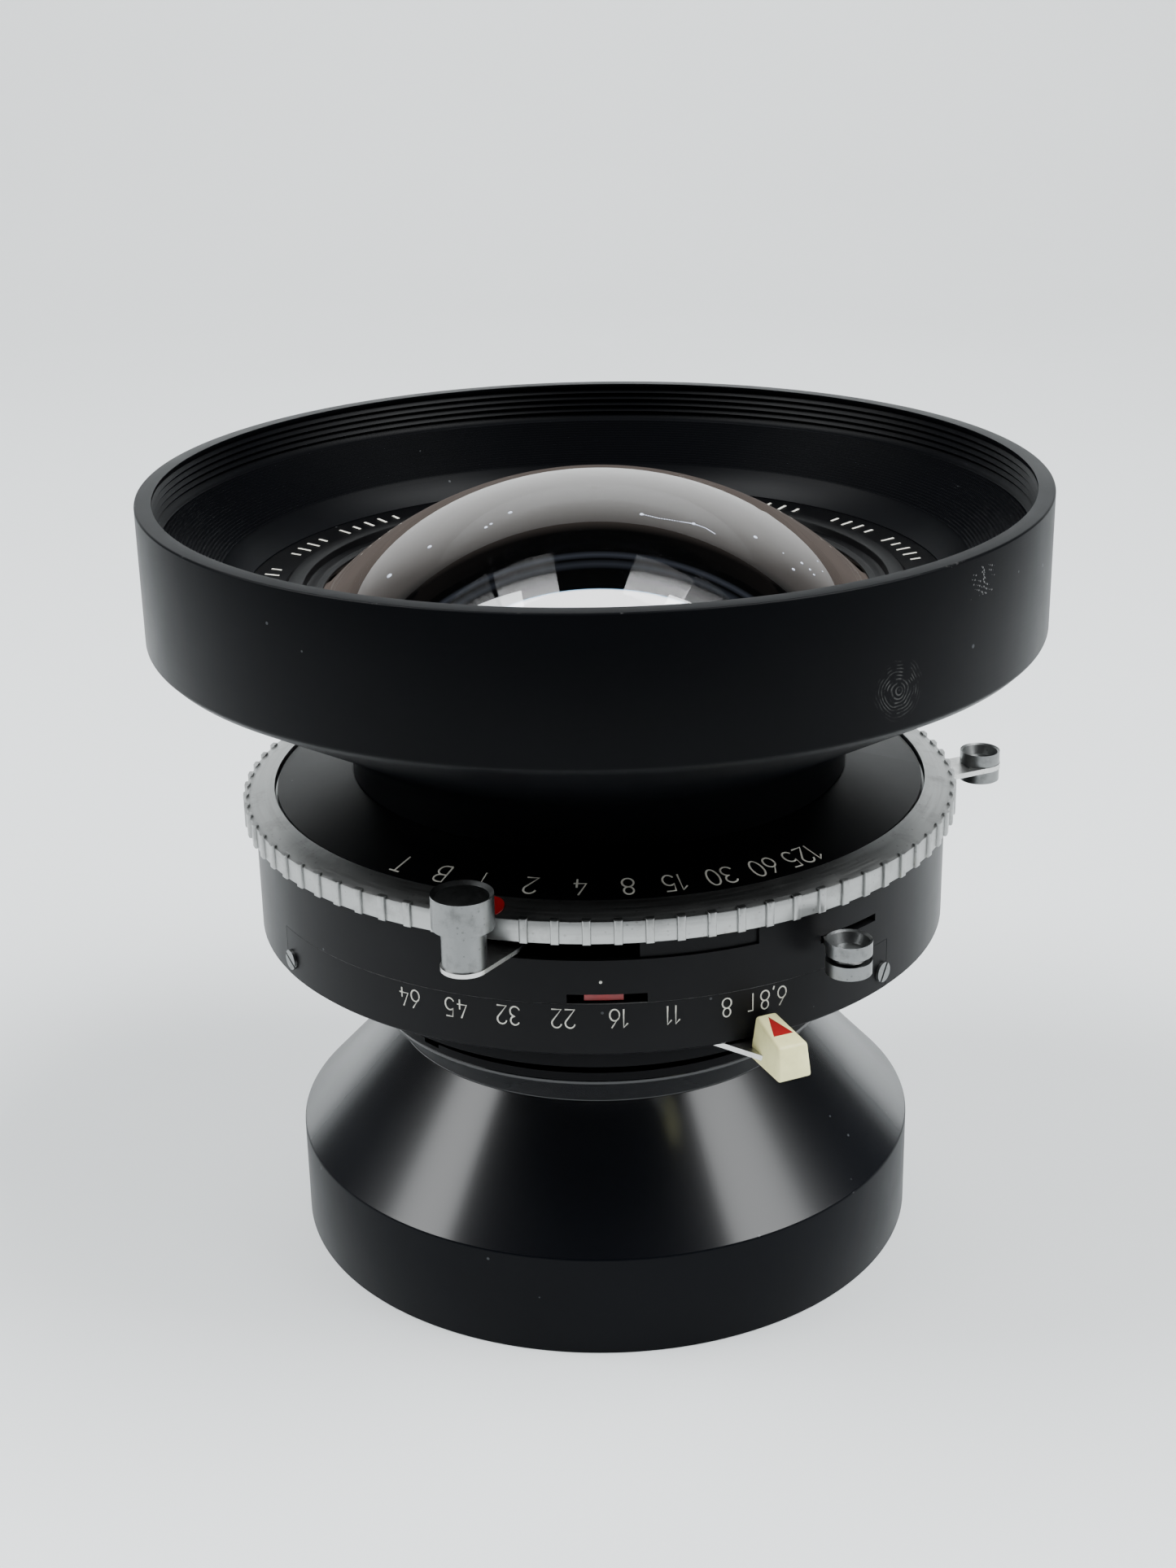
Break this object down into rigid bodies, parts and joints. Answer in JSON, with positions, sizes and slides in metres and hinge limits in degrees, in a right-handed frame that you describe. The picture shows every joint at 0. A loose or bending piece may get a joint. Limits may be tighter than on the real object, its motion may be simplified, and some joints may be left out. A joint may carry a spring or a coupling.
{
  "type": "large format camera lens in leaf shutter",
  "caption": "Large-format lens in a leaf shutter, standing on its rear barrel: wide front cell, knurled speed ring, cocking and release levers, aperture scale and tab.",
  "frame": {"origin": "centre of the rear rim's plane, on the optical axis; the lens stands on that rim", "axes": "+Z along the optical axis towards the front glass; -Y towards the side with the scales and the release lever; +X to the right of that side"},
  "size_m": [0.1288, 0.1288, 0.1149],
  "materials": {
    "black_satin": "satin black anodised",
    "black_gloss": "gloss black lacquer",
    "black_matte": "matte black lacquer, white filled figures",
    "coated_glass": "polished, coated",
    "bare_metal": "fine satin",
    "bright_metal": "satin chrome",
    "blade_steel": "blued, thin sheet",
    "dark_steel": "blackened",
    "spring_steel": "bright wire",
    "brass": "machined",
    "red_enamel": "gloss",
    "cream_plastic": "moulded",
    "black_plastic": "moulded"
  },
  "bodies": {
    "lens_body": {"front_barrel": "black_satin", "front_outer_lens": "coated_glass", "front_name_ring": "black_matte", "front_inner_lens": "coated_glass", "front_inner_ring": "black_satin", "rear_barrel": "black_gloss", "rear_outer_lens": "coated_glass", "rear_retaining_ring": "black_satin", "rear_inner_lens": "coated_glass", "rear_inner_ring": "black_satin", "rear_flange": "black_satin", "lens_board_ring": "black_satin", "shutter_housing": "black_satin", "aperture_scale": "black_matte", "scale_screws": "bright_metal", "blade_plate": "dark_steel", "main_plate": "dark_steel", "front_plate": "dark_steel", "speed_plate": "black_matte", "main_spring": "spring_steel", "release_spring": "spring_steel", "cable_socket": "bare_metal", "sync_socket": "bare_metal", "sync_insulator": "black_plastic", "sync_pin": "brass"},
    "speed_control": {"speed_ring": "bare_metal", "speed_index": "red_enamel", "speed_cam": "bare_metal"},
    "cocking": {"cocking_ring": "bare_metal", "cocking_lever": "bare_metal", "cocking_knob": "bright_metal", "light_shield": "black_satin"},
    "release": {"release_lever": "bare_metal", "release_knob": "bright_metal"},
    "preview": {"shutter_drive_ring": "dark_steel", "open_flag": "red_enamel", "preview_lever": "bare_metal", "preview_knob": "bright_metal"},
    "aperture_control": {"aperture_ring": "bare_metal", "aperture_tab": "cream_plastic", "iris_drive_ring": "dark_steel"},
    "retard": {"retard_gear": "brass", "star_wheel": "brass"},
    "plunger": {"cable_plunger": "bright_metal"},
    "shutter_blade_1": {"shutter_blade_1": "blade_steel"},
    "shutter_blade_2": {"shutter_blade_2": "blade_steel"},
    "shutter_blade_3": {"shutter_blade_3": "blade_steel"},
    "shutter_blade_4": {"shutter_blade_4": "blade_steel"},
    "shutter_blade_5": {"shutter_blade_5": "blade_steel"},
    "iris_blade_1": {"iris_blade_1": "blade_steel"},
    "iris_blade_2": {"iris_blade_2": "blade_steel"},
    "iris_blade_3": {"iris_blade_3": "blade_steel"},
    "iris_blade_4": {"iris_blade_4": "blade_steel"},
    "iris_blade_5": {"iris_blade_5": "blade_steel"},
    "iris_blade_6": {"iris_blade_6": "blade_steel"},
    "iris_blade_7": {"iris_blade_7": "blade_steel"}
  },
  "joints": [
    {"name": "speed_ring_turn", "type": "hinge", "parent": "lens_body", "child": "speed_control", "pos_m": [0, 0, 0.068], "axis": [0, 0, 1], "range_deg": [-20, 54]},
    {"name": "cocking_swing", "type": "hinge", "parent": "lens_body", "child": "cocking", "pos_m": [0, 0, 0.0645], "axis": [0, 0, 1], "range_deg": [0, 35], "stiffness_Nm_per_rad": 0.02, "springref_deg": -28.65},
    {"name": "release_swing", "type": "hinge", "parent": "lens_body", "child": "release", "pos_m": [0.01878, -0.03532, 0.0615], "axis": [0, 0, 1], "range_deg": [0, 14], "stiffness_Nm_per_rad": 0.01, "springref_deg": -17.19},
    {"name": "preview_swing", "type": "hinge", "parent": "lens_body", "child": "preview", "pos_m": [0, 0, 0.059], "axis": [0, 0, 1], "range_deg": [0, 20]},
    {"name": "aperture_turn", "type": "hinge", "parent": "lens_body", "child": "aperture_control", "pos_m": [0, 0, 0.049], "axis": [0, 0, 1], "range_deg": [-55, 0]},
    {"name": "retard_gear_spin", "type": "hinge", "parent": "lens_body", "child": "retard", "pos_m": [-0.03637, 0.021, 0.063], "axis": [0, 0, 1], "range_deg": [-386, 0]},
    {"name": "cable_plunger_push", "type": "slide", "parent": "lens_body", "child": "plunger", "axis": [-0.309, -0.9511, 0], "range_m": [0, 0.002], "stiffness_N_per_m": 20, "springref_m": -0.002},
    {"name": "shutter_blade_1_swing", "type": "hinge", "parent": "lens_body", "child": "shutter_blade_1", "pos_m": [0.043, 0, 0.05633], "axis": [0, 0, 1], "range_deg": [0, 34]},
    {"name": "shutter_blade_2_swing", "type": "hinge", "parent": "lens_body", "child": "shutter_blade_2", "pos_m": [0.01329, 0.0409, 0.05671], "axis": [0, 0, 1], "range_deg": [0, 34]},
    {"name": "shutter_blade_3_swing", "type": "hinge", "parent": "lens_body", "child": "shutter_blade_3", "pos_m": [-0.03479, 0.02527, 0.05709], "axis": [0, 0, 1], "range_deg": [0, 34]},
    {"name": "shutter_blade_4_swing", "type": "hinge", "parent": "lens_body", "child": "shutter_blade_4", "pos_m": [-0.03479, -0.02527, 0.05747], "axis": [0, 0, 1], "range_deg": [0, 34]},
    {"name": "shutter_blade_5_swing", "type": "hinge", "parent": "lens_body", "child": "shutter_blade_5", "pos_m": [0.01329, -0.0409, 0.05785], "axis": [0, 0, 1], "range_deg": [0, 34]},
    {"name": "iris_blade_1_swing", "type": "hinge", "parent": "lens_body", "child": "iris_blade_1", "pos_m": [0.039, 0, 0.05248], "axis": [0, 0, 1], "range_deg": [0, 30.6]},
    {"name": "iris_blade_2_swing", "type": "hinge", "parent": "lens_body", "child": "iris_blade_2", "pos_m": [0.02432, 0.03049, 0.05278], "axis": [0, 0, 1], "range_deg": [0, 30.6]},
    {"name": "iris_blade_3_swing", "type": "hinge", "parent": "lens_body", "child": "iris_blade_3", "pos_m": [-0.00868, 0.03802, 0.05308], "axis": [0, 0, 1], "range_deg": [0, 30.6]},
    {"name": "iris_blade_4_swing", "type": "hinge", "parent": "lens_body", "child": "iris_blade_4", "pos_m": [-0.03514, 0.01692, 0.05338], "axis": [0, 0, 1], "range_deg": [0, 30.6]},
    {"name": "iris_blade_5_swing", "type": "hinge", "parent": "lens_body", "child": "iris_blade_5", "pos_m": [-0.03514, -0.01692, 0.05368], "axis": [0, 0, 1], "range_deg": [0, 30.6]},
    {"name": "iris_blade_6_swing", "type": "hinge", "parent": "lens_body", "child": "iris_blade_6", "pos_m": [-0.00868, -0.03802, 0.05398], "axis": [0, 0, 1], "range_deg": [0, 30.6]},
    {"name": "iris_blade_7_swing", "type": "hinge", "parent": "lens_body", "child": "iris_blade_7", "pos_m": [0.02432, -0.03049, 0.05428], "axis": [0, 0, 1], "range_deg": [0, 30.6]}
  ],
  "couplings": [
    {"joint": "retard_gear_spin", "follows": "cocking_swing", "ratio": -11},
    {"joint": "shutter_blade_1_swing", "follows": "preview_swing", "ratio": 1.69},
    {"joint": "shutter_blade_2_swing", "follows": "preview_swing", "ratio": 1.69},
    {"joint": "shutter_blade_3_swing", "follows": "preview_swing", "ratio": 1.69},
    {"joint": "shutter_blade_4_swing", "follows": "preview_swing", "ratio": 1.69},
    {"joint": "shutter_blade_5_swing", "follows": "preview_swing", "ratio": 1.69},
    {"joint": "iris_blade_1_swing", "follows": "aperture_turn", "ratio": -0.55133},
    {"joint": "iris_blade_2_swing", "follows": "aperture_turn", "ratio": -0.55133},
    {"joint": "iris_blade_3_swing", "follows": "aperture_turn", "ratio": -0.55133},
    {"joint": "iris_blade_4_swing", "follows": "aperture_turn", "ratio": -0.55133},
    {"joint": "iris_blade_5_swing", "follows": "aperture_turn", "ratio": -0.55133},
    {"joint": "iris_blade_6_swing", "follows": "aperture_turn", "ratio": -0.55133},
    {"joint": "iris_blade_7_swing", "follows": "aperture_turn", "ratio": -0.55133}
  ]
}
